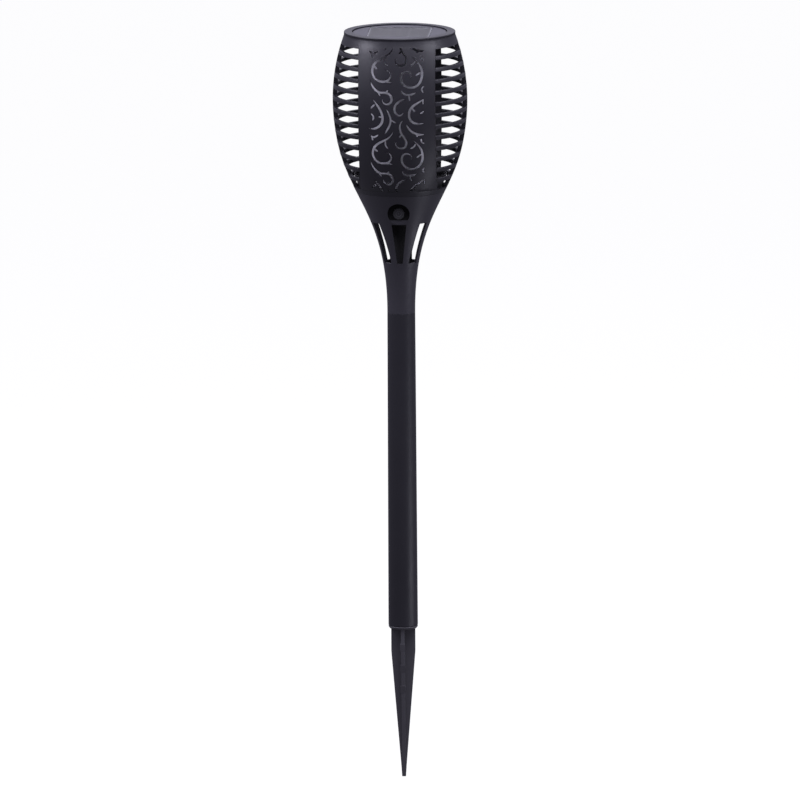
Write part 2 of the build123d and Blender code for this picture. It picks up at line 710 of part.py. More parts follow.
def battery_tube():
    """Closed-end tube that hangs through the funnel's floor, with a flange that rests on it."""
    flange_bottom = SLOT_TOP + FUNNEL_FLOOR
    cell_top = CELL_BOTTOM + CELL_LENGTH
    body = slab(TUBE_BOTTOM, cell_top + 0.5, TUBE_RADIUS)
    flange = slab(flange_bottom, flange_bottom + TUBE_FLANGE_THICKNESS, TUBE_FLANGE_RADIUS)
    bore = slab(TUBE_BOTTOM + TUBE_FLOOR, cell_top + 2, TUBE_BORE)
    holes = [
        slab(flange_bottom - 1, flange_bottom + 5, 1.2).moved(Location((x, y, 0)))
        for x, y in flange_screw_places()
    ]
    body = chamfer(body.edges().group_by(Axis.Z)[0], 0.8)
    return body + flange - bore - holes


def flange_screws():
    """Three screws that hold the battery tube's flange to the funnel's floor."""
    height = SLOT_TOP + FUNNEL_FLOOR + TUBE_FLANGE_THICKNESS
    one = screw(1.9, 1.2, 0.9, TUBE_FLANGE_THICKNESS + FUNNEL_FLOOR - 0.8, direction=-1)
    return Compound(children=[s for x, y in flange_screw_places() for s in (Pos(x, y, height) * one).solids()])


def battery_cell():
    """Rechargeable 14500 cell with its raised positive end."""
    top = CELL_BOTTOM + CELL_LENGTH
    can = slab(CELL_BOTTOM, top - 1, CELL_RADIUS)
    can = fillet(can.edges().group_by(Axis.Z)[-1] + can.edges().group_by(Axis.Z)[0], 0.6)
    return can + slab(top - 1.5, top, 2.8)


def battery_spring():
    """Conical coil spring on the tube's floor that presses the cell up."""
    wire = 0.35
    bottom = TUBE_BOTTOM + TUBE_FLOOR
    height = CELL_BOTTOM - bottom - 2 * wire - 0.1
    path = Helix(pitch=height / 2.5, height=height, radius=5.5, cone_angle=-30)
    coil = sweep(Plane(origin=path @ 0, z_dir=path % 0) * Circle(wire), path=path)
    return Pos(0, 0, bottom + wire) * coil


def negative_strip():
    """Thin metal strip that brings the spring's end up the side of the tube."""
    bottom = TUBE_BOTTOM + TUBE_FLOOR
    return block((-1.2, 7.15, bottom + 0.1), (1.2, 7.35, CELL_BOTTOM + CELL_LENGTH + 0.4))


def battery_cap():
    """Cap over the tube's open end, with a skirt round it and a hole for the leads."""
    bottom = CELL_BOTTOM + CELL_LENGTH + 0.5
    lid = slab(bottom, bottom + 2.5, TUBE_RADIUS + 1.5)
    skirt = tube(TUBE_RADIUS + 1.5, TUBE_RADIUS + 0.15, bottom - 6, bottom + 0.5)
    holes = [slab(bottom - 1, bottom + 4, 0.8).moved(Location((0, y, 0))) for y in (-3, 3)]
    return lid + skirt - holes


def battery_leads():
    """Two insulated leads from the battery cap up to the control board."""
    bottom = CELL_BOTTOM + CELL_LENGTH + 0.6
    leads = [slab(bottom, BOARD_BOTTOM, 0.6).moved(Location((0, y, 0))) for y in (-3, 3)]
    return Compound(children=[s for lead in leads for s in lead.solids()])


def positive_contact():
    """Flat metal contact on the cell's raised end."""
    top = CELL_BOTTOM + CELL_LENGTH
    return slab(top, top + 0.4, 5.0)


# ---- button and switch ------------------------------------------------------------------------


def button_cap():
    """Round cap with a flange behind the recess floor that keeps it in."""
    back = RECESS_FLOOR_Y + FLOOR_THICKNESS
    flange_front = back + BUTTON_FLANGE_GAP
    cap = bar_along_y(BUTTON_RADIUS, RECESS_FLOOR_Y - BUTTON_PROUD, flange_front + 0.5)
    cap = fillet(cap.edges().group_by(Axis.Y)[0], 0.7)
    flange = bar_along_y(BUTTON_FLANGE_RADIUS, flange_front, flange_front + 1.0)
    return cap + flange


def switch_shaft():
    """The push switch's moving shaft, which carries the cap."""
    front = RECESS_FLOOR_Y + FLOOR_THICKNESS + BUTTON_FLANGE_GAP + 1.0
    return bar_along_y(SHAFT_RADIUS, front, SWITCH_FRONT_Y + 3.0)


def switch_body():
    """Square push switch with a bore for its shaft."""
    half = SWITCH_SIDE / 2
    body = block((-half, SWITCH_FRONT_Y, BUTTON_HEIGHT - half), (half, SWITCH_BACK_Y, BUTTON_HEIGHT + half))
    return body - bar_along_y(SHAFT_RADIUS + 0.1, SWITCH_FRONT_Y - 1, SWITCH_FRONT_Y + 3.0 + BUTTON_TRAVEL + 0.5)


def switch_holder():
    """Bracket from the back of the recess floor that holds the switch."""
    front = RECESS_FLOOR_Y + FLOOR_THICKNESS
    half = SWITCH_SIDE / 2
    plate = block((-9, SWITCH_BACK_Y, BUTTON_HEIGHT - half), (9, SWITCH_BACK_Y + 1.6, BUTTON_HEIGHT + half))
    arms = [
        block((low, front, BUTTON_HEIGHT - half), (low + 1.8, SWITCH_BACK_Y + 0.5, BUTTON_HEIGHT + half))
        for low in (-9, 7.2)
    ]
    return plate + arms


# ---- the assembly -----------------------------------------------------------------------------


def build():
    """Every sub-part by node name."""
    full = barrel()
    inner = barrel(WALL)
    shell = full - inner
    rib_shell = full - barrel(RIB_DEPTH)
    cutters = scroll_cutter()
    front = cage_front(shell, cutters)
    parts = {
        "ground_spike": ground_spike(),
        "pole_tube": pole_tube(),
        "neck_socket": neck_socket(full),
        "funnel_legs": funnel_legs(full, inner),
        "funnel_shell": funnel_shell(full, inner),
        "cage_foot_ring": cage_foot_ring(full, inner),
        "cage_front": front,
        "cage_rear": Rot(0, 0, 180) * front,
        "rim_ring": rim_ring(full, inner),
        "solar_cap": solar_cap(),
        "cap_seal": cap_seal(),
        "cap_screws": cap_screws(),
        "lamp_base": lamp_base(),
        "base_screws": base_screws(),
        "diffuser_tube": tube(DIFFUSER_RADIUS, DIFFUSER_RADIUS - DIFFUSER_WALL, BASE_TOP, DIFFUSER_TOP),
        "led_core": tube(CORE_RADIUS, CORE_RADIUS - CORE_WALL, BASE_TOP, CORE_TOP),
        "led_flex_board": tube(CORE_RADIUS + FLEX_THICKNESS, CORE_RADIUS, BASE_TOP + 3, CORE_TOP - 1),
        "led_chips": led_chips(),
        "core_cap": tube(CORE_RADIUS + FLEX_THICKNESS, LEAD_RADIUS + 0.2, CORE_TOP, CORE_TOP + 2),
        "control_board": control_board(),
        "control_parts": control_parts(),
        "board_screws": board_screws(),
        "battery_tube": battery_tube(),
        "flange_screws": flange_screws(),
        "battery_cell": battery_cell(),
        "battery_spring": battery_spring(),
        "negative_strip": negative_strip(),
        "positive_contact": positive_contact(),
        "battery_cap": battery_cap(),
        "battery_leads": battery_leads(),
        "switch_body": switch_body(),
        "switch_holder": switch_holder(),
        "switch_shaft": switch_shaft(),
        "button_cap": button_cap(),
    }
    parts.update(panel_parts())
    for name, side in (("left", -1), ("right", 1)):
        parts[f"side_rib_{name}"] = side_rib(rib_shell, side)
        parts[f"slats_{name}_front"] = slats(side, -1)
        parts[f"slats_{name}_rear"] = slats(side, 1)
    return parts


os.makedirs("parts", exist_ok=True)
for node, shape in build().items():
    export_step(shape, f"parts/{node}.step")
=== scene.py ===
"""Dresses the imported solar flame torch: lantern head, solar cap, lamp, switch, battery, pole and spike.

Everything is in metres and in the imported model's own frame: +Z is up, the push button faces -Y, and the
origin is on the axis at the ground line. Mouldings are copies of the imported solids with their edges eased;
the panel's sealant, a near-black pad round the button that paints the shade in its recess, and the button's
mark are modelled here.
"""

from __future__ import annotations

import logging
import math
from dataclasses import dataclass
from enum import Enum
from typing import Iterable

import bmesh
import bpy
from mathutils import Matrix, Vector

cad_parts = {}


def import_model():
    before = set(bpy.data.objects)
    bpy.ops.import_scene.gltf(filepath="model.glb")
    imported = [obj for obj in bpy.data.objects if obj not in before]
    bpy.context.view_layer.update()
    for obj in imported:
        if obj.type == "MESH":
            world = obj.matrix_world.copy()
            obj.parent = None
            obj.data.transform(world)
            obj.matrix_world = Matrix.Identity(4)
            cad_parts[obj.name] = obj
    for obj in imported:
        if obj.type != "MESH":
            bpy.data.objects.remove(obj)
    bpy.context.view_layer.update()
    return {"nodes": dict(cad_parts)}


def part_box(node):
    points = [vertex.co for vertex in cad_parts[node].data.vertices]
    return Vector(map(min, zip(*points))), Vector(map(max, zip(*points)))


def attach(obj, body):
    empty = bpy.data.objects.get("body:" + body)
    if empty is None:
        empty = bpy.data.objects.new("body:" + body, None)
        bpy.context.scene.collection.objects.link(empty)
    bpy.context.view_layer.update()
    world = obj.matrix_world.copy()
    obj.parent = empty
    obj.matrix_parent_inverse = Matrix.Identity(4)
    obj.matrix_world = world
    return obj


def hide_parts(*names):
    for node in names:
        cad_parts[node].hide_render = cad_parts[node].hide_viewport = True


LOG = logging.getLogger("torch")
MM = 0.001
WELD = 2e-5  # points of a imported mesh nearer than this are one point
SAME_PLACE = 1e-7
SHARP_ANGLE = 40.0  # edges sharper than this are eased
CREASE_ANGLE = 38.0  # edges sharper than this stay crisp in the shading
FACE_WEIGHT = 60
MIX_FACTOR, MIX_FIRST, MIX_SECOND, MIX_RESULT = 0, 6, 7, 2  # sockets of a Mix node that mixes colours
Node = bpy.types.Object
Material = bpy.types.Material


# ---- mesh helpers ------------------------------------------------------------------------------


def merged_copy(node: Node, weld: float = WELD) -> bmesh.types.BMesh:
    """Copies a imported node's mesh and joins its loose triangles.

    Args:
        node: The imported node.
        weld: Points nearer than this are joined, in metres.

    Returns:
        A closed bmesh in the model's frame.
    """
    bm = bmesh.new()
    bm.from_mesh(node.data)
    bmesh.ops.remove_doubles(bm, verts=bm.verts[:], dist=weld)
    bmesh.ops.dissolve_degenerate(bm, edges=bm.edges[:], dist=weld)
    return bm


def sharp_edges(bm: bmesh.types.BMesh, degrees: float = SHARP_ANGLE) -> list[bmesh.types.BMEdge]:
    """Lists the edges where two faces meet at more than an angle.

    Args:
        bm: The mesh.
        degrees: Smallest angle that counts as sharp.

    Returns:
        The sharp edges.
    """
    limit = math.radians(degrees)
    return [e for e in bm.edges if e.is_manifold and e.calc_face_angle() > limit]


def ease(
    bm: bmesh.types.BMesh,
    edges: Iterable[bmesh.types.BMEdge],
    width: float,
    segments: int = 2,
) -> None:
    """Rounds edges as a mould does.

    Args:
        bm: The mesh, changed in place.
        edges: The edges to round.
        width: Width of the rounding, in metres.
        segments: Faces across the rounding.
    """
    bmesh.ops.bevel(
        bm,
        geom=list(edges),
        offset=width,
        offset_type="OFFSET",
        affect="EDGES",
        segments=segments,
        profile=0.5,
        material=-1,
        clamp_overlap=True,
        loop_slide=True,
    )


def lathe(points: Iterable[tuple[float, float]], steps: int) -> bmesh.types.BMesh:
    """Turns a closed outline about the axis.

    Args:
        points: (radius, height) pairs in metres, in order; the last joins the first.
        steps: Faces round the axis.

    Returns:
        The turned mesh with its faces outwards.
    """
    bm = bmesh.new()
    verts = [bm.verts.new((radius, 0, height)) for radius, height in points]
    edges = [bm.edges.new(pair) for pair in zip(verts, verts[1:] + verts[:1])]
    bmesh.ops.spin(
        bm,
        geom=verts + edges,
        cent=(0, 0, 0),
        axis=(0, 0, 1),
        dvec=(0, 0, 0),
        angle=math.tau,
        steps=steps,
        use_merge=True,
        use_duplicate=False,
    )
    bmesh.ops.remove_doubles(bm, verts=bm.verts[:], dist=SAME_PLACE)
    bmesh.ops.recalc_face_normals(bm, faces=bm.faces[:])
    return bm


def cut_away(bm: bmesh.types.BMesh, place: Vector, outwards: Vector) -> None:
    """Cuts a mesh with a plane, drops what lies outwards of it and closes the cut.

    Args:
        bm: The mesh, changed in place.
        place: A point on the plane.
        outwards: The side that goes.
    """
    geom = bm.verts[:] + bm.edges[:] + bm.faces[:]
    cut = bmesh.ops.bisect_plane(bm, geom=geom, plane_co=place, plane_no=outwards, clear_outer=True)
    rim = [item for item in cut["geom_cut"] if isinstance(item, bmesh.types.BMEdge)]
    bmesh.ops.contextual_create(bm, geom=rim)


def joined(parts: Iterable[bmesh.types.BMesh]) -> bmesh.types.BMesh:
    """Puts several meshes into one.

    Args:
        parts: The meshes; they are freed.

    Returns:
        One mesh that holds them all.
    """
    whole = bmesh.new()
    for part in parts:
        held = bpy.data.meshes.new("held")
        part.to_mesh(held)
        part.free()
        whole.from_mesh(held)
        bpy.data.meshes.remove(held)
    return whole


def piece(bm: bmesh.types.BMesh, name: str, material: Material, weighted: bool = True) -> Node:
    """Makes a finished object at the origin from a mesh.

    Args:
        bm: The mesh; it is freed.
        name: The piece's name.
        material: Its material.
        weighted: Whether large faces lead the shading beside small ones.

    Returns:
        The object, linked to the scene.
    """
    mesh = bpy.data.meshes.new(name)
    bm.to_mesh(mesh)
    bm.free()
    mesh.materials.append(material)
    for polygon in mesh.polygons:
        polygon.use_smooth = True
    mesh.set_sharp_from_angle(angle=math.radians(CREASE_ANGLE))
    obj = bpy.data.objects.new(name, mesh)
    bpy.context.scene.collection.objects.link(obj)
    if weighted:
        normals = obj.modifiers.new("even_shading", "WEIGHTED_NORMAL")
        normals.keep_sharp = True
        normals.weight = FACE_WEIGHT
    return obj


def stands_for(obj: Node, body: str, slot: str, *nodes: str) -> Node:
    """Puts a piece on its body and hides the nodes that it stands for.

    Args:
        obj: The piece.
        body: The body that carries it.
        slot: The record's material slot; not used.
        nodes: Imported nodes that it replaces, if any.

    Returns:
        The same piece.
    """
    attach(obj, body)
    if nodes:
        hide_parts(*nodes)
    LOG.info("%s on %s: %d faces", obj.name, body, len(obj.data.polygons))
    return obj


# ---- shader groups -----------------------------------------------------------------------------


class Groups:
    """Shader groups that more than one material uses, each built once."""

    GRAIN_SCALE = 2600.0
    GRAIN_DETAIL = 3.0
    CELL_SHARE = 0.6
    BROAD_SCALE = 28.0
    BROAD_DETAIL = 4.0
    SPECK_SCALE = 420.0
    SPECK_DETAIL = 6.0
    MOTTLE = (0.72, 1.28)
    DUST_SLOPE = 0.35
    DUST_PATCH = (0.42, 0.66)
    ROUGHNESS_SPAN = 0.16
    LINE_SCALE = 3000.0
    LINE_DETAIL = 2.0
    LINE_STRETCH = (1.0, 1.0, 0.03)

    def __init__(self) -> None:
        """Builds every group."""
        self.grain = self._grain()
        self.variation = self._variation()
        self.brushed = self._brushed()

    @staticmethod
    def _tree(
        name: str,
        inputs: dict[str, tuple[str, float | None]],
        outputs: dict[str, str],
    ) -> bpy.types.NodeTree:
        """Makes an empty group with its sockets.

        Args:
            name: The group's name.
            inputs: Socket name to (type, starting value or None).
            outputs: Socket name to type.

        Returns:
            The group, with one input and one output node.
        """
        tree = bpy.data.node_groups.new(name, "ShaderNodeTree")
        for label, (kind, value) in inputs.items():
            socket = tree.interface.new_socket(label, in_out="INPUT", socket_type=kind)
            if value is not None:
                socket.default_value = value
        for label, kind in outputs.items():
            tree.interface.new_socket(label, in_out="OUTPUT", socket_type=kind)
        tree.nodes.new("NodeGroupInput").name = "in"
        tree.nodes.new("NodeGroupOutput").name = "out"
        return tree

    @staticmethod
    def _noise(
        tree: bpy.types.NodeTree,
        vector: bpy.types.NodeSocket,
        scale: float,
        detail: float,
    ) -> bpy.types.Node:
        """Adds a noise texture.

        Args:
            tree: The tree that gets it.
            vector: What it reads.
            scale: Bumps per metre.
            detail: Octaves.

        Returns:
            The noise node.
        """
        noise = tree.nodes.new("ShaderNodeTexNoise")
        noise.inputs["Scale"].default_value = scale
        noise.inputs["Detail"].default_value = detail
        tree.links.new(vector, noise.inputs["Vector"])
        return noise

    def _grain(self) -> bpy.types.NodeTree:
        """Builds the fine spark-eroded texture of a moulded surface, as a height."""
        tree = self._tree(
            "moulded_grain",
            {"Vector": ("NodeSocketVector", None), "Scale": ("NodeSocketFloat", self.GRAIN_SCALE)},
            {"Height": "NodeSocketFloat"},
        )
        nodes, links = tree.nodes, tree.links
        fine = self._noise(tree, nodes["in"].outputs["Vector"], self.GRAIN_SCALE, self.GRAIN_DETAIL)
        links.new(nodes["in"].outputs["Scale"], fine.inputs["Scale"])
        cells = nodes.new("ShaderNodeTexVoronoi")
        cells.feature = "SMOOTH_F1"
        links.new(nodes["in"].outputs["Vector"], cells.inputs["Vector"])
        links.new(nodes["in"].outputs["Scale"], cells.inputs["Scale"])
        total = nodes.new("ShaderNodeMath")
        total.operation = "MULTIPLY_ADD"
        total.inputs[1].default_value = self.CELL_SHARE
        links.new(cells.outputs["Distance"], total.inputs[0])
        links.new(fine.outputs["Fac"], total.inputs[2])
        links.new(total.outputs[0], nodes["out"].inputs["Height"])
        return tree

    def _variation(self) -> bpy.types.NodeTree:
        """Builds slow changes of colour and roughness: flow marks, handling and a trace of dust on top."""
        tree = self._tree(
            "surface_variation",
            {
                "Vector": ("NodeSocketVector", None),
                "Colour": ("NodeSocketColor", None),
                "Dust Colour": ("NodeSocketColor", None),
                "Roughness": ("NodeSocketFloat", 0.5),
                "Amount": ("NodeSocketFloat", 0.25),
                "Dust": ("NodeSocketFloat", 0.05),
            },
            {"Colour": "NodeSocketColor", "Roughness": "NodeSocketFloat"},
        )
        nodes, links = tree.nodes, tree.links
        source = nodes["in"]
        broad = self._noise(tree, source.outputs["Vector"], self.BROAD_SCALE, self.BROAD_DETAIL)
        specks = self._noise(tree, source.outputs["Vector"], self.SPECK_SCALE, self.SPECK_DETAIL)
        mottle = nodes.new("ShaderNodeMapRange")
        mottle.inputs["To Min"].default_value, mottle.inputs["To Max"].default_value = self.MOTTLE
        links.new(broad.outputs["Fac"], mottle.inputs["Value"])
        shade = nodes.new("ShaderNodeMix")
        shade.data_type = "RGBA"
        shade.blend_type = "MULTIPLY"
        links.new(source.outputs["Amount"], shade.inputs[MIX_FACTOR])
        links.new(source.outputs["Colour"], shade.inputs[MIX_FIRST])
        links.new(mottle.outputs["Result"], shade.inputs[MIX_SECOND])
        facing = nodes.new("ShaderNodeNewGeometry")
        parts = nodes.new("ShaderNodeSeparateXYZ")
        links.new(facing.outputs["Normal"], parts.inputs[0])
        upward = nodes.new("ShaderNodeMapRange")
        upward.inputs["From Min"].default_value = self.DUST_SLOPE
        links.new(parts.outputs["Z"], upward.inputs["Value"])
        patch = nodes.new("ShaderNodeMapRange")
        patch.inputs["From Min"].default_value, patch.inputs["From Max"].default_value = self.DUST_PATCH
        links.new(specks.outputs["Fac"], patch.inputs["Value"])
        lying = nodes.new("ShaderNodeMath")
        lying.operation = "MULTIPLY"
        links.new(upward.outputs["Result"], lying.inputs[0])
        links.new(patch.outputs["Result"], lying.inputs[1])
        dusty = nodes.new("ShaderNodeMath")
        dusty.operation = "MULTIPLY"
        links.new(lying.outputs[0], dusty.inputs[0])
        links.new(source.outputs["Dust"], dusty.inputs[1])
        dusted = nodes.new("ShaderNodeMix")
        dusted.data_type = "RGBA"
        links.new(dusty.outputs[0], dusted.inputs[MIX_FACTOR])
        links.new(shade.outputs[MIX_RESULT], dusted.inputs[MIX_FIRST])
        links.new(source.outputs["Dust Colour"], dusted.inputs[MIX_SECOND])
        links.new(dusted.outputs[MIX_RESULT], nodes["out"].inputs["Colour"])
        rub = nodes.new("ShaderNodeMath")
        rub.operation = "MULTIPLY_ADD"
        rub.inputs[1].default_value = self.ROUGHNESS_SPAN
        links.new(broad.outputs["Fac"], rub.inputs[0])
        links.new(source.outputs["Roughness"], rub.inputs[2])
        level = nodes.new("ShaderNodeMath")
        level.operation = "SUBTRACT"
        level.inputs[1].default_value = self.ROUGHNESS_SPAN / 2
        links.new(rub.outputs[0], level.inputs[0])
        links.new(level.outputs[0], nodes["out"].inputs["Roughness"])
        return tree

    def _brushed(self) -> bpy.types.NodeTree:
        """Builds fine parallel lines, as a height."""
        tree = self._tree(
            "fine_lines",
            {"Vector": ("NodeSocketVector", None), "Lines": ("NodeSocketFloat", self.LINE_SCALE)},
            {"Height": "NodeSocketFloat"},
        )
        nodes, links = tree.nodes, tree.links
        stretch = nodes.new("ShaderNodeMapping")
        stretch.inputs["Scale"].default_value = self.LINE_STRETCH
        links.new(nodes["in"].outputs["Vector"], stretch.inputs["Vector"])
        noise = self._noise(tree, stretch.outputs["Vector"], self.LINE_SCALE, self.LINE_DETAIL)
        links.new(nodes["in"].outputs["Lines"], noise.inputs["Scale"])
        links.new(noise.outputs["Fac"], nodes["out"].inputs["Height"])
        return tree


# ---- finishes ----------------------------------------------------------------------------------


class Texture(Enum):
    """The fine texture that a finish carries."""

    GRAIN = "grain"
    LINES = "lines"
    SMOOTH = "smooth"


@dataclass(frozen=True)
class Finish:
    """One surface finish, given as plain numbers for a Principled shader.

    Attributes:
        name: The material's name.
        colour: Base colour.
        roughness: Middle of its roughness.
        texture: The fine texture.
        scale: Bumps of that texture in a metre.
        depth: Height of its bumps in metres.
        metallic: 1 for bare metal.
        specular: Strength of the reflection.
        coat: Weight of a clear coat.
        coat_roughness: Roughness of that coat.
        transmission: Share of light that goes through.
        sheen: Weight of a soft sheen.
        variation: How much the colour varies over the surface.
        dust: How much dust lies on faces that look up.
        dust_colour: The dust's colour.
        bump_strength: Strength of the bump.
    """

    name: str
    colour: tuple[float, float, float]
    roughness: float
    texture: Texture = Texture.GRAIN
    scale: float = 2600.0
    depth: float = 0.00002
    metallic: float = 0.0
    specular: float = 0.5
    coat: float = 0.0
    coat_roughness: float = 0.1
    transmission: float = 0.0
    sheen: float = 0.0
    variation: float = 0.3
    dust: float = 0.05
    dust_colour: tuple[float, float, float] = (0.35, 0.34, 0.33)
    bump_strength: float = 0.6

    def material(self, groups: Groups) -> Material:
        """Builds the finish as a node material.

        Args:
            groups: The shared shader groups.

        Returns:
            The material.
        """
        made = bpy.data.materials.new(self.name)
        made.use_nodes = True
        nodes, links = made.node_tree.nodes, made.node_tree.links
        shader = nodes["Principled BSDF"]
        shader.inputs["Metallic"].default_value = self.metallic
        shader.inputs["Specular IOR Level"].default_value = self.specular
        shader.inputs["Coat Weight"].default_value = self.coat
        shader.inputs["Coat Roughness"].default_value = self.coat_roughness
        shader.inputs["Transmission Weight"].default_value = self.transmission
        shader.inputs["Sheen Weight"].default_value = self.sheen
        place = nodes.new("ShaderNodeTexCoord")
        vary = nodes.new("ShaderNodeGroup")
        vary.node_tree = groups.variation
        vary.inputs["Colour"].default_value = (*self.colour, 1)
        vary.inputs["Dust Colour"].default_value = (*self.dust_colour, 1)
        vary.inputs["Roughness"].default_value = self.roughness
        vary.inputs["Amount"].default_value = self.variation
        vary.inputs["Dust"].default_value = self.dust
        links.new(place.outputs["Object"], vary.inputs["Vector"])
        links.new(vary.outputs["Colour"], shader.inputs["Base Color"])
        links.new(vary.outputs["Roughness"], shader.inputs["Roughness"])
        if self.texture is not Texture.SMOOTH:
            self._bump(made, groups, place, shader)
        return made

    def _bump(self, made: Material, groups: Groups, place: bpy.types.Node, shader: bpy.types.Node) -> None:
        """Adds the fine texture's bump.

        Args:
            made: The material.
            groups: The shared shader groups.
            place: The texture coordinate node.
            shader: The Principled shader.
        """
        nodes, links = made.node_tree.nodes, made.node_tree.links
        grained = self.texture is Texture.GRAIN
        fine = nodes.new("ShaderNodeGroup")
        fine.node_tree = groups.grain if grained else groups.brushed
        fine.inputs["Scale" if grained else "Lines"].default_value = self.scale
        links.new(place.outputs["Object"], fine.inputs["Vector"])
        bump = nodes.new("ShaderNodeBump")
        bump.inputs["Strength"].default_value = self.bump_strength
        bump.inputs["Distance"].default_value = self.depth
        links.new(fine.outputs["Height"], bump.inputs["Height"])
        links.new(bump.outputs["Normal"], shader.inputs["Normal"])


FINISHES = (
    Finish("black_polypropylene", (0.013, 0.0125, 0.017), 0.43, depth=0.000018, dust=0.02),
    # Painted light: the black moulding made about twice as light for the funnel, in place of the light from
    # below that it lacks.
    Finish("painted_light_polypropylene", (0.027, 0.0257, 0.033), 0.45, depth=0.000018, dust=0.02),
    Finish("pole_polypropylene", (0.014, 0.0135, 0.018), 0.46, depth=0.000018, specular=0.42, dust=0.02),
    Finish("spike_polypropylene", (0.06, 0.058, 0.066), 0.5, scale=1500.0, depth=0.00005, dust=0.02),
    Finish("cap_abs", (0.045, 0.044, 0.056), 0.5, scale=1900.0, depth=0.00003, dust=0.05),
    # Painted shade: the parts inside the head are darker than the black moulding, so the inside reads as
    # shaded through the cut-outs.
    Finish("painted_shade_black", (0.0065, 0.0065, 0.0068), 0.65, scale=1500.0, specular=0.25, dust=0.0),
    # Painted shade: near-black for the pad that darkens the floor of the button's recess.
    Finish("recess_painted_shade", (0.0055, 0.0055, 0.0057), 0.8, scale=2200.0, specular=0.15, dust=0.0),
    Finish("inner_abs", (0.02, 0.02, 0.022), 0.5, scale=1500.0),
    Finish("switch_housing", (0.05, 0.05, 0.055), 0.35, depth=0.00001),
    Finish("button_elastomer", (0.017, 0.017, 0.019), 0.55, scale=3200.0, sheen=0.1, dust=0.02),
    Finish("seal_silicone", (0.004, 0.004, 0.0045), 0.7, Texture.SMOOTH, specular=0.2, dust=0.0),
    Finish("foam_tape", (0.09, 0.09, 0.095), 0.9, scale=1400.0, depth=0.0002),
    Finish("solder_resist", (0.02, 0.11, 0.045), 0.3, Texture.LINES, scale=700.0, depth=0.00002, coat=0.4),
    Finish("component_epoxy", (0.02, 0.02, 0.021), 0.4),
    Finish("led_lens", (0.85, 0.66, 0.2), 0.25, Texture.SMOOTH, coat=0.6, dust=0.0),
    Finish("cell_wrap", (0.09, 0.17, 0.32), 0.28, Texture.SMOOTH, coat=0.5),
    Finish("nickel_spring", (0.62, 0.6, 0.56), 0.28, Texture.LINES, scale=2500.0, metallic=1.0, dust=0.0),
    Finish("zinc_screws", (0.5, 0.5, 0.52), 0.34, Texture.LINES, scale=4000.0, metallic=1.0, dust=0.0),
    Finish("lead_insulation", (0.03, 0.006, 0.006), 0.42, scale=3000.0, depth=0.00001),
)


@dataclass(frozen=True)
class FrostedSheet:
    """The diffuser's frosted white film."""

    name: str = "frosted_film"
    colour: tuple[float, float, float] = (0.78, 0.78, 0.82)
    roughness: float = 0.6
    transmission: float = 0.25

    def material(self, groups: Groups) -> Material:
        """Builds the film as a softly translucent white.

        Args:
            groups: The shared shader groups.

        Returns:
            The material.
        """
        base = Finish(
            self.name,
            self.colour,
            self.roughness,
            scale=1800.0,
            depth=0.00002,
            transmission=self.transmission,
            variation=0.12,
            dust=0.0,
        )
        return base.material(groups)


@dataclass(frozen=True)
class ClearCover:
    """The clear sheet over the solar cells."""

    name: str = "clear_resin"
    colour: tuple[float, float, float] = (0.93, 0.93, 0.98)
    roughness: float = 0.32
    ior: float = 1.5

    def material(self, groups: Groups) -> Material:
        """Builds the clear sheet.

        Args:
            groups: The shared shader groups.

        Returns:
            The material.
        """
        base = Finish(
            self.name,
            self.colour,
            self.roughness,
            scale=900.0,
            depth=0.000006,
            transmission=1.0,
            variation=0.02,
            dust=0.0,
        )
        made = base.material(groups)
        made.node_tree.nodes["Principled BSDF"].inputs["IOR"].default_value = self.ior
        return made


@dataclass(frozen=True)
class SiliconCells:
    """Blue-grey silicon strips with fine silver fingers across them."""

    name: str = "silicon_cells"
    dark: tuple[float, float, float] = (0.12, 0.12, 0.19)
    light: tuple[float, float, float] = (0.16, 0.16, 0.235)
    finger: tuple[float, float, float] = (0.3, 0.3, 0.37)
    finger_pitch: float = 0.0021
    finger_share: float = 0.1
    crystal_scale: float = 260.0
    roughness: float = 0.3
    specular: float = 0.7

    def material(self, groups: Groups) -> Material:
        """Builds the cells from a crystal pattern and a line pattern.

        Args:
            groups: The shared shader groups; the cells share none of them.

        Returns:
            The material.
        """
        made = bpy.data.materials.new(self.name)
        made.use_nodes = True
        nodes, links = made.node_tree.nodes, made.node_tree.links
        shader = nodes["Principled BSDF"]
        shader.inputs["Roughness"].default_value = self.roughness
        shader.inputs["Specular IOR Level"].default_value = self.specular
        place = nodes.new("ShaderNodeTexCoord")
        crystals = nodes.new("ShaderNodeTexVoronoi")
        crystals.inputs["Scale"].default_value = self.crystal_scale
        links.new(place.outputs["Object"], crystals.inputs["Vector"])
        body = nodes.new("ShaderNodeMix")
        body.data_type = "RGBA"
        body.inputs[MIX_FIRST].default_value = (*self.dark, 1)
        body.inputs[MIX_SECOND].default_value = (*self.light, 1)
        links.new(crystals.outputs["Color"], body.inputs[MIX_FACTOR])
        axes = nodes.new("ShaderNodeSeparateXYZ")
        links.new(place.outputs["Object"], axes.inputs[0])
        across = nodes.new("ShaderNodeMath")
        across.operation = "DIVIDE"
        across.inputs[1].default_value = self.finger_pitch
        links.new(axes.outputs["Y"], across.inputs[0])
        step = nodes.new("ShaderNodeMath")
        step.operation = "FRACT"
        links.new(across.outputs[0], step.inputs[0])
        line = nodes.new("ShaderNodeMath")
        line.operation = "LESS_THAN"
        line.inputs[1].default_value = self.finger_share
        links.new(step.outputs[0], line.inputs[0])
        drawn = nodes.new("ShaderNodeMix")
        drawn.data_type = "RGBA"
        drawn.inputs[MIX_SECOND].default_value = (*self.finger, 1)
        links.new(line.outputs[0], drawn.inputs[MIX_FACTOR])
        links.new(body.outputs[MIX_RESULT], drawn.inputs[MIX_FIRST])
        links.new(drawn.outputs[MIX_RESULT], shader.inputs["Base Color"])
        return made


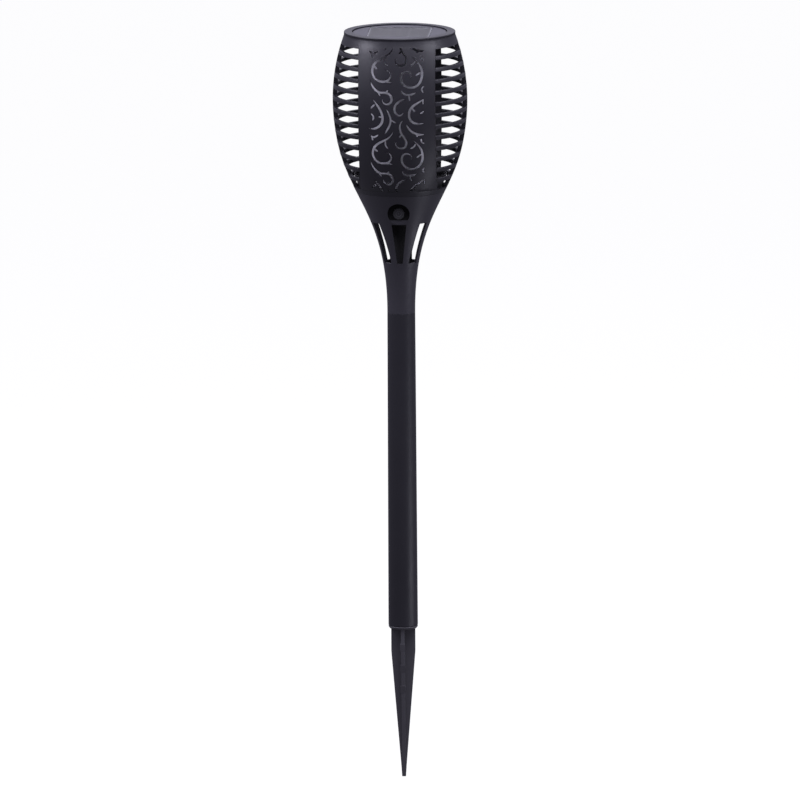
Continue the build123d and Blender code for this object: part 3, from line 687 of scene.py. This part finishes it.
class Palette:
    """Every material of the torch, by name."""

    def __init__(self) -> None:
        """Builds the groups and the materials."""
        groups = Groups()
        finishes = [*FINISHES, FrostedSheet(), ClearCover(), SiliconCells()]
        self.by_name = {finish.name: finish.material(groups) for finish in finishes}

    def __getitem__(self, name: str) -> Material:
        """Gives one material."""
        return self.by_name[name]


# ---- lantern cage ------------------------------------------------------------------------------


@dataclass
class Cage:
    """The upper moulding of the head: scroll panels, slats, side ribs and the bands round them.

    Attributes:
        nodes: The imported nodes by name.
        paint: The materials.
        edge: Width of the rounding on ribs and bands.
        panel_edge: Width of the rounding on a scroll panel and its cut-outs.
        slat_edge: Width of the rounding on a slat.
        slat_angle: Slat edges sharper than this are rounded, in degrees.
        slat_segments: Faces across a slat's rounding.
        foot_share: The foot ring's rounding as a share of edge.
        panel_weld: Points of a panel nearer than this are joined.
        tuck: How far a panel's ends run into the bands.
        tuck_in: How far the ends step inwards there.
        body: The body that carries the cage.
        slot: Its material slot.
    """

    nodes: dict[str, Node]
    paint: Palette
    edge: float = 0.25 * MM
    panel_edge: float = 0.16 * MM
    slat_edge: float = 0.7 * MM
    slat_angle: float = 30.0
    slat_segments: int = 3
    foot_share: float = 0.8
    panel_weld: float = 4 * WELD
    tuck: float = 0.35 * MM
    tuck_in: float = 0.2 * MM
    body: str = "head"
    slot: str = "black_moulding"

    def build(self) -> None:
        """Builds every piece of the cage."""
        for name in ("cage_front", "cage_rear"):
            self._panel(name)
        for name in ("side_rib_left", "side_rib_right"):
            self._plain(name, self.edge)
        self._plain("cage_foot_ring", self.edge * self.foot_share)
        self._plain("rim_ring", self.edge)
        for side in ("left", "right"):
            for end in ("front", "rear"):
                self._slats(f"slats_{side}_{end}")

    def _plain(self, name: str, width: float) -> None:
        """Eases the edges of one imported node.

        Args:
            name: The node.
            width: Width of the rounding.
        """
        bm = merged_copy(self.nodes[name])
        ease(bm, sharp_edges(bm), width)
        made = piece(bm, f"{name}_moulding", self.paint["black_polypropylene"])
        stands_for(made, self.body, self.slot, name)

    def _panel(self, name: str) -> None:
        """Eases a scroll panel's cut-outs and bars and runs its ends into the bands.

        Args:
            name: The node.
        """
        low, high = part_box(name)
        bm = merged_copy(self.nodes[name], weld=self.panel_weld)

        def at_end(edge: bmesh.types.BMEdge) -> bool:
            """Tells whether an edge lies where the panel meets a band."""
            return all(min(v.co.z - low.z, high.z - v.co.z) < WELD for v in edge.verts)

        ease(bm, [edge for edge in sharp_edges(bm) if not at_end(edge)], self.panel_edge)
        for vert in bm.verts:
            end = 1 if high.z - vert.co.z < WELD else -1 if vert.co.z - low.z < WELD else 0
            if end:
                inwards = Vector((vert.co.x, vert.co.y, 0)).normalized() * self.tuck_in
                vert.co += Vector((0, 0, end * self.tuck)) - inwards
        made = piece(bm, f"{name}_moulding", self.paint["black_polypropylene"])
        stands_for(made, self.body, self.slot, name)

    def _slats(self, name: str) -> None:
        """Rounds the edges of one quarter's slats.

        Args:
            name: The node whose slats these are.
        """
        bm = merged_copy(self.nodes[name])
        ease(bm, sharp_edges(bm, self.slat_angle), self.slat_edge, segments=self.slat_segments)
        made = piece(bm, f"{name}_moulding", self.paint["black_polypropylene"])
        stands_for(made, self.body, self.slot, name)


# ---- funnel, legs and neck ---------------------------------------------------------------------


@dataclass
class Funnel:
    """The lower moulding of the head: funnel with the button's recess, six legs and the neck.

    Attributes:
        nodes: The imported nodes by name.
        paint: The materials.
        edge: Width of the rounding.
        union_weld: Points of the joined mesh nearer than this are joined.
        parts: The nodes that make up the moulding.
    """

    nodes: dict[str, Node]
    paint: Palette
    edge: float = 0.3 * MM
    union_weld: float = 2 * WELD
    parts: tuple[str, ...] = ("funnel_shell", "funnel_legs", "neck_socket")

    def build(self) -> None:
        """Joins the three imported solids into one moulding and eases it."""
        shells = []
        for name in self.parts:
            mesh = bpy.data.meshes.new(name)
            bm = merged_copy(self.nodes[name])
            bm.to_mesh(mesh)
            bm.free()
            obj = bpy.data.objects.new(f"{name}_work", mesh)
            bpy.context.scene.collection.objects.link(obj)
            shells.append(obj)
        whole, *others = shells
        for index, other in enumerate(others):
            union = whole.modifiers.new(f"union_{index}", "BOOLEAN")
            union.operation = "UNION"
            union.solver = "EXACT"
            union.object = other
        bpy.context.view_layer.update()
        evaluated = whole.evaluated_get(bpy.context.evaluated_depsgraph_get())
        bm = bmesh.new()
        bm.from_mesh(evaluated.to_mesh())
        evaluated.to_mesh_clear()
        for shell in shells:
            bpy.data.objects.remove(shell)
        bmesh.ops.remove_doubles(bm, verts=bm.verts[:], dist=self.union_weld)
        ease(bm, sharp_edges(bm), self.edge)
        # The funnel wears a lighter copy of the black plastic: painted light from below.
        made = piece(bm, "funnel_moulding", self.paint["painted_light_polypropylene"])
        stands_for(made, "head", "black_moulding", *self.parts)


# ---- pole and spike ----------------------------------------------------------------------------


@dataclass
class Stand:
    """The pole and the ground spike.

    Attributes:
        nodes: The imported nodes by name.
        paint: The materials.
        edge: Width of the rounding.
        mouldings: Node, body and finish of each piece.
    """

    nodes: dict[str, Node]
    paint: Palette
    edge: float = 0.35 * MM
    mouldings: tuple[tuple[str, str, str], ...] = (
        ("pole_tube", "pole", "pole_polypropylene"),
        ("ground_spike", "spike", "spike_polypropylene"),
    )

    def build(self) -> None:
        """Builds both pieces."""
        for node, body, finish in self.mouldings:
            bm = merged_copy(self.nodes[node])
            ease(bm, sharp_edges(bm), self.edge)
            made = piece(bm, f"{node}_moulding", self.paint[finish])
            stands_for(made, body, "black_moulding", node)


# ---- solar panel's sealant and the button's details -------------------------------------------


@dataclass
class TopSeal:
    """The line of black sealant round the solar panel.

    Attributes:
        paint: The materials.
        width: Width of the line.
        overlap: How far it lies over the panel's edge.
        proud: How far it stands above the panel.
        depth: Its whole thickness.
        edge: Width of the rounding.
    """

    paint: Palette
    width: float = 0.9 * MM
    overlap: float = 0.25 * MM
    proud: float = 0.12 * MM
    depth: float = 0.6 * MM
    edge: float = 0.15 * MM

    def build(self) -> None:
        """Makes a thin square frame over the joint between panel and cap."""
        _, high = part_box("panel_clear_cover")
        half = high.x - self.overlap + self.width
        bm = bmesh.new()
        bmesh.ops.create_grid(bm, x_segments=1, y_segments=1, size=half)
        ring = bmesh.ops.inset_individual(bm, faces=bm.faces[:], thickness=self.width)
        middle = [face for face in bm.faces if face not in ring["faces"]]
        bmesh.ops.delete(bm, geom=middle, context="FACES")
        frame = bmesh.ops.extrude_face_region(bm, geom=bm.faces[:])
        lifted = [item for item in frame["geom"] if isinstance(item, bmesh.types.BMVert)]
        bmesh.ops.translate(bm, verts=lifted, vec=(0, 0, self.depth))
        bmesh.ops.translate(bm, verts=bm.verts[:], vec=(0, 0, high.z + self.proud - self.depth))
        bmesh.ops.recalc_face_normals(bm, faces=bm.faces[:])
        ease(bm, sharp_edges(bm), self.edge)
        stands_for(piece(bm, "panel_sealant", self.paint["seal_silicone"]), "head", "seal_rubber")


@dataclass
class ButtonFront:
    """A near-black pad round the button, which paints the shade in the button's recess, and the mark on the
    button's face.

    Attributes:
        paint: The materials.
        proud: How far the button's face stands in front of the pad's back.
        hole: Radius of the pad's hole.
        outside: Radius of the pad.
        pad: Thickness of the pad.
        pad_foot: Distance from the button's middle down to the pad's straight foot.
        ring: Radius of the mark's ring, at the middle of its line.
        line: Half the width of the mark's lines.
        relief: Height of the mark.
        bar: Length of the mark's upright line.
        mark_rounding: The rounding of the mark's edges as a share of its height.
        ring_steps: Faces round a ring.
    """

    paint: Palette
    proud: float = 2.0 * MM
    hole: float = 5.1 * MM
    outside: float = 9.4 * MM
    pad: float = 0.3 * MM
    pad_foot: float = 5.6 * MM
    ring: float = 2.3 * MM
    line: float = 0.3 * MM
    relief: float = 0.12 * MM
    bar: float = 1.7 * MM
    mark_rounding: float = 1 / 3
    ring_steps: int = 64

    def build(self) -> None:
        """Makes the dark pad that paints the recess's shade on the head, and the mark on the button."""
        low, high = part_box("button_cap")
        middle = (low.z + high.z) / 2
        face = low.y
        pad = self._turned_forward((self.hole, self.outside), self.pad, face + self.proud, middle)
        cut_away(pad, Vector((0, 0, middle - self.pad_foot)), Vector((0, 0, -1)))
        # The pad is darker than any moulding: painted shade on the floor of the button's recess.
        stands_for(piece(pad, "recess_shade_pad", self.paint["recess_painted_shade"]), "head", "seal_rubber")
        inside, outside = self.ring - self.line, self.ring + self.line
        mark = self._turned_forward((inside, outside), self.relief, face, middle)
        stroke = bmesh.new()
        bmesh.ops.create_cube(stroke, size=1.0)
        size = (2 * self.line, self.relief, self.bar)
        bmesh.ops.scale(stroke, verts=stroke.verts[:], vec=size)
        place = (0, face - self.relief / 2, middle + self.bar / 4)
        bmesh.ops.translate(stroke, verts=stroke.verts[:], vec=place)
        marks = joined([mark, stroke])
        ease(marks, sharp_edges(marks), self.relief * self.mark_rounding)
        stands_for(piece(marks, "button_mark", self.paint["switch_housing"]), "button", "button_rubber")

    def _turned_forward(
        self,
        radii: tuple[float, float],
        thick: float,
        back: float,
        height: float,
    ) -> bmesh.types.BMesh:
        """Makes a flat ring that faces forward.

        Args:
            radii: Its inner and outer radius.
            thick: Its thickness.
            back: Where its back lies along Y.
            height: Height of its middle.

        Returns:
            The ring's mesh.
        """
        inside, outside = radii
        bm = lathe([(inside, 0), (outside, 0), (outside, thick), (inside, thick)], self.ring_steps)
        turn = Matrix.Translation((0, back, height)) @ Matrix.Rotation(math.radians(90), 4, "X")
        bmesh.ops.transform(bm, matrix=turn, verts=bm.verts[:])
        return bm


# ---- carried-over nodes ------------------------------------------------------------------------

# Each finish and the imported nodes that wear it.
WEARERS = {
    "cap_abs": ("solar_cap",),
    "inner_abs": ("lamp_base", "switch_holder"),
    # Painted shade: the parts inside the head wear the extra-dark black.
    "painted_shade_black": ("battery_tube", "battery_cap", "led_core", "core_cap"),
    "switch_housing": ("switch_body", "switch_shaft"),
    "button_elastomer": ("button_cap",),
    "seal_silicone": ("cap_seal",),
    "foam_tape": ("panel_foam_pad",),
    "clear_resin": ("panel_clear_cover",),
    "silicon_cells": ("solar_cells",),
    "solder_resist": ("panel_backing_board", "led_flex_board", "control_board"),
    "component_epoxy": ("control_parts",),
    "led_lens": ("led_chips",),
    "frosted_film": ("diffuser_tube",),
    "cell_wrap": ("battery_cell",),
    "nickel_spring": ("battery_spring", "negative_strip", "positive_contact"),
    "zinc_screws": ("cap_screws", "base_screws", "board_screws", "flange_screws"),
    "lead_insulation": ("panel_lead", "battery_leads"),
}


@dataclass
class Dressing:
    """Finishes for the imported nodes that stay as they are."""

    nodes: dict[str, Node]
    paint: Palette

    def build(self) -> None:
        """Gives every listed node its material."""
        for name, wearers in WEARERS.items():
            for wearer in wearers:
                for slot in self.nodes[wearer].material_slots:
                    slot.material = self.paint[name]
            LOG.info("%s worn by %s", name, ", ".join(wearers))


# ---- studio ------------------------------------------------------------------------------------


def towards(azimuth: float, elevation: float) -> Vector:
    """Gives the direction from the torch to a place seen at an angle.

    Args:
        azimuth: Degrees round from the front, positive to the right.
        elevation: Degrees above level.

    Returns:
        A unit vector.
    """
    a, e = math.radians(azimuth), math.radians(elevation)
    return Vector((math.sin(a) * math.cos(e), -math.cos(a) * math.cos(e), math.sin(e)))


@dataclass(frozen=True)
class SoftBox:
    """One area light, aimed at a height on the axis.

    Attributes:
        name: The light's name.
        azimuth: Degrees round from the front, positive to the right.
        elevation: Degrees above level, seen from the point that it is aimed at.
        distance: Metres from that point.
        width: Its width.
        height: Its height.
        watts: Its power.
        aim: Height on the axis that it is aimed at.
        colour: Its colour.
    """

    name: str
    azimuth: float
    elevation: float
    distance: float
    width: float
    height: float
    watts: float
    aim: float
    colour: tuple[float, float, float] = (1.0, 1.0, 1.0)

    def build(self) -> None:
        """Adds the light."""
        data = bpy.data.lights.new(self.name, "AREA")
        data.shape = "RECTANGLE"
        data.size = self.width
        data.size_y = self.height
        data.energy = self.watts
        data.color = self.colour
        lamp = bpy.data.objects.new(self.name, data)
        aim = Vector((0, 0, self.aim))
        lamp.location = aim + towards(self.azimuth, self.elevation) * self.distance
        lamp.rotation_euler = (aim - lamp.location).to_track_quat("-Z", "Y").to_euler()
        bpy.context.scene.collection.objects.link(lamp)


@dataclass
class Studio:
    """Camera, soft lights, pale floor and surroundings.

    Attributes:
        azimuth: Degrees that the camera stands round from the front, positive to the right.
        elevation: Degrees that it stands above level.
        distance: Metres from the torch.
        field_width: Metres that the view takes in at that distance.
        aim_height: Height on the axis at the middle of the view.
        aim_right: Distance from the axis to the middle of the view.
        roll: Degrees that the camera is turned about its line of sight.
        sensor: Width of the sensor in millimetres.
        view_end: Farthest distance that the camera sees.
        floor_half: Half the floor's side.
        floor_drop: Gap between the spike's tip and the floor.
        floor_grey: The floor's own colour.
        floor_roughness: The floor's roughness.
        floor_glow: How brightly the floor shows to the camera.
        dim_below: Colour of the surroundings below.
        bright_above: Colour of the surroundings above.
        ramp_places: Where the change between the two begins and ends, from 0 below to 1 above.
        backdrop: What the camera sees beyond the floor.
        lights: The area lights.
    """

    azimuth: float = 3.7
    elevation: float = 9.55
    distance: float = 20.0
    field_width: float = 0.6888
    aim_height: float = 0.1991
    aim_right: float = -0.0016
    roll: float = -0.35
    sensor: float = 36.0
    view_end: float = 100.0
    floor_half: float = 30.0
    floor_drop: float = 0.5 * MM
    floor_grey: float = 0.12
    floor_roughness: float = 0.9
    floor_glow: float = 0.93
    dim_below: tuple[float, float, float] = (0.165, 0.16, 0.195)
    bright_above: tuple[float, float, float] = (0.42, 0.41, 0.52)
    ramp_places: tuple[float, float] = (0.35, 0.85)
    backdrop: tuple[float, float, float] = (0.95, 0.95, 0.96)
    lights: tuple[SoftBox, ...] = (
        SoftBox("left_box", -72, 34, 0.9, 0.36, 0.36, 7.0, 0.5, (0.88, 0.86, 1.0)),
        SoftBox("right_box", 74, 34, 0.9, 0.36, 0.36, 4.5, 0.5, (0.88, 0.87, 1.0)),
        SoftBox("low_right_box", 72, -2, 0.6, 0.25, 0.25, 0.75, -0.06, (0.88, 0.88, 1.0)),
        SoftBox("top_box", 20, 60, 1.8, 1.0, 1.0, 23.0, 0.52, (0.9, 0.88, 1.0)),
        SoftBox("rear_box", 178, 30, 2.4, 1.6, 1.2, 6.0, 0.45, (0.88, 0.87, 1.0)),
    )

    def build(self) -> None:
        """Sets the whole studio up."""
        self._camera()
        for light in self.lights:
            light.build()
        self._floor()
        self._surroundings()
        bpy.context.scene.view_settings.view_transform = "Standard"

    def _camera(self) -> None:
        """Adds the camera with a long lens at the viewing angle."""
        data = bpy.data.cameras.new("camera")
        data.sensor_width = self.sensor
        data.lens = self.sensor * self.distance / self.field_width
        data.clip_end = self.view_end
        camera = bpy.data.objects.new("camera", data)
        back = towards(self.azimuth, self.elevation)
        right = Vector((0, 0, 1)).cross(back).normalized()
        aim = Vector((0, 0, self.aim_height)) + right * self.aim_right
        camera.location = aim + back * self.distance
        level = (-back).to_track_quat("-Z", "Y").to_matrix()
        camera.rotation_euler = (level @ Matrix.Rotation(math.radians(self.roll), 3, "Z")).to_euler()
        bpy.context.scene.collection.objects.link(camera)
        bpy.context.scene.camera = camera

    def _floor(self) -> None:
        """Adds the pale floor at the spike's tip."""
        low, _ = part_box("ground_spike")
        bm = bmesh.new()
        bmesh.ops.create_grid(bm, x_segments=1, y_segments=1, size=self.floor_half)
        bmesh.ops.translate(bm, verts=bm.verts[:], vec=(0, 0, low.z - self.floor_drop))
        made = bpy.data.materials.new("pale_floor")
        made.use_nodes = True
        shader = made.node_tree.nodes["Principled BSDF"]
        shader.inputs["Base Color"].default_value = (self.floor_grey, self.floor_grey, self.floor_grey, 1)
        shader.inputs["Roughness"].default_value = self.floor_roughness
        shader.inputs["Specular IOR Level"].default_value = 0.0
        shader.inputs["Emission Color"].default_value = (1, 1, 1, 1)
        shader.inputs["Emission Strength"].default_value = self.floor_glow
        floor = piece(bm, "floor", made, weighted=False)
        floor.visible_glossy = False
        floor.visible_diffuse = False
        floor.visible_shadow = False

    def _surroundings(self) -> None:
        """Sets a pale world: bright above, dim below."""
        world = bpy.data.worlds.new("surroundings")
        world.use_nodes = True
        nodes, links = world.node_tree.nodes, world.node_tree.links
        place = nodes.new("ShaderNodeTexCoord")
        axes = nodes.new("ShaderNodeSeparateXYZ")
        links.new(place.outputs["Generated"], axes.inputs[0])
        ramp = nodes.new("ShaderNodeValToRGB")
        stops = zip(ramp.color_ramp.elements, self.ramp_places, (self.dim_below, self.bright_above))
        for stop, position, colour in stops:
            stop.position = position
            stop.color = (*colour, 1)
        shift = nodes.new("ShaderNodeMath")
        shift.operation = "MULTIPLY_ADD"
        shift.inputs[1].default_value = 0.5
        shift.inputs[2].default_value = 0.5
        links.new(axes.outputs["Z"], shift.inputs[0])
        links.new(shift.outputs[0], ramp.inputs[0])
        lit = nodes["Background"]
        links.new(ramp.outputs["Color"], lit.inputs["Color"])
        seen = nodes.new("ShaderNodeBackground")
        seen.inputs["Color"].default_value = (*self.backdrop, 1)
        rays = nodes.new("ShaderNodeLightPath")
        choose = nodes.new("ShaderNodeMixShader")
        links.new(rays.outputs["Is Camera Ray"], choose.inputs[0])
        links.new(lit.outputs[0], choose.inputs[1])
        links.new(seen.outputs[0], choose.inputs[2])
        links.new(choose.outputs[0], nodes["World Output"].inputs["Surface"])
        bpy.context.scene.world = world


# ---- everything --------------------------------------------------------------------------------


def main() -> None:
    """Builds the torch around its frame and the studio around the torch."""
    logging.basicConfig(level=logging.INFO, format="%(name)s %(message)s")
    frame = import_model()
    nodes = frame["nodes"]
    paint = Palette()
    Cage(nodes, paint).build()
    Funnel(nodes, paint).build()
    Stand(nodes, paint).build()
    TopSeal(paint).build()
    ButtonFront(paint).build()
    Dressing(nodes, paint).build()
    Studio().build()


if __name__ == "__main__":
    main()
